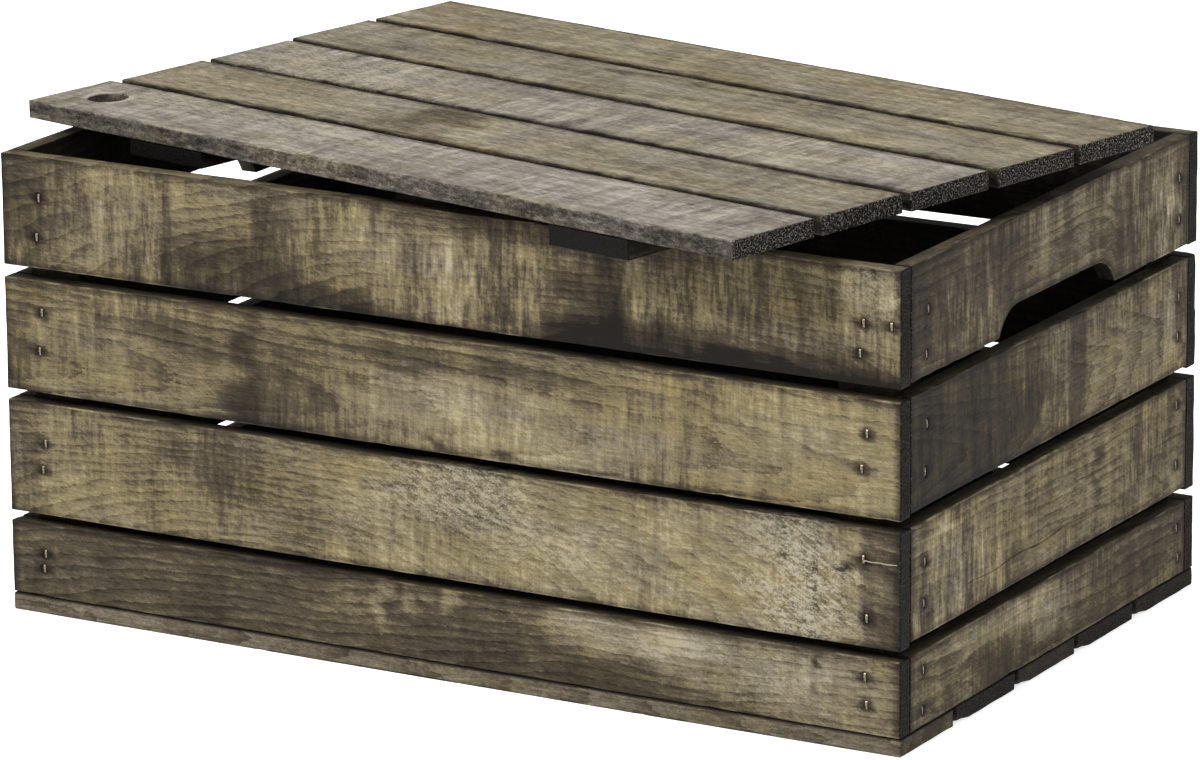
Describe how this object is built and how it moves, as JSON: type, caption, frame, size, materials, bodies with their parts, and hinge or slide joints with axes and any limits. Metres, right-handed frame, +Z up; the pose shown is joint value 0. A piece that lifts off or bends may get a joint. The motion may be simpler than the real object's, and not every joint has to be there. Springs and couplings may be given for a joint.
{
  "type": "slatted toy box",
  "caption": "Slatted rough-sawn wooden box with hand holds in its end walls and a loose boarded lid with a finger hole, lying askew on the rim.",
  "frame": {"origin": "middle of the box's underside", "axes": "+X along the box's length, +Y from the front wall to the back wall, +Z up out of the box"},
  "size_m": [0.5884, 0.4401, 0.2856],
  "materials": {
    "slat_wood": "rough-sawn, dark stain, worn",
    "end_wood": "rough-sawn, dark stain, worn",
    "bottom_wood": "rough-sawn, dark stain",
    "post_wood": "sawn, stained",
    "lid_wood": "smoother, pale stain, dark edges",
    "cleat_wood": "rough-sawn, dark stain",
    "staple_steel": "bright wire"
  },
  "bodies": {
    "box": {"front_slat_1": "slat_wood", "front_slat_2": "slat_wood", "front_slat_3": "slat_wood", "front_slat_4": "slat_wood", "back_slat_1": "slat_wood", "back_slat_2": "slat_wood", "back_slat_3": "slat_wood", "back_slat_4": "slat_wood", "left_end_board_1": "end_wood", "left_end_board_2": "end_wood", "left_end_board_3": "end_wood", "left_end_board_4": "end_wood", "right_end_board_1": "end_wood", "right_end_board_2": "end_wood", "right_end_board_3": "end_wood", "right_end_board_4": "end_wood", "corner_post_front_left": "post_wood", "corner_post_front_right": "post_wood", "corner_post_back_left": "post_wood", "corner_post_back_right": "post_wood", "bottom_board_1": "bottom_wood", "bottom_board_2": "bottom_wood", "bottom_board_3": "bottom_wood", "bottom_board_4": "bottom_wood", "bottom_board_5": "bottom_wood", "front_staple_01": "staple_steel", "front_staple_02": "staple_steel", "front_staple_03": "staple_steel", "front_staple_04": "staple_steel", "front_staple_05": "staple_steel", "front_staple_06": "staple_steel", "front_staple_07": "staple_steel", "front_staple_08": "staple_steel", "front_staple_09": "staple_steel", "front_staple_10": "staple_steel", "front_staple_11": "staple_steel", "front_staple_12": "staple_steel", "front_staple_13": "staple_steel", "front_staple_14": "staple_steel", "front_staple_15": "staple_steel", "front_staple_16": "staple_steel", "front_staple_17": "staple_steel", "right_staple_01": "staple_steel", "right_staple_02": "staple_steel", "right_staple_03": "staple_steel", "right_staple_04": "staple_steel", "right_staple_05": "staple_steel", "right_staple_06": "staple_steel", "right_staple_07": "staple_steel", "right_staple_08": "staple_steel"},
    "lid": {"lid_board_1": "lid_wood", "lid_board_2": "lid_wood", "lid_board_3": "lid_wood", "lid_board_4": "lid_wood", "lid_board_5": "lid_wood", "lid_cleat_left": "cleat_wood", "lid_cleat_right": "cleat_wood"}
  },
  "joints": [
    {"name": "lid_lift", "type": "slide", "parent": "box", "child": "lid", "axis": [0, 0, 1], "range_m": [0, 0.2]}
  ]
}
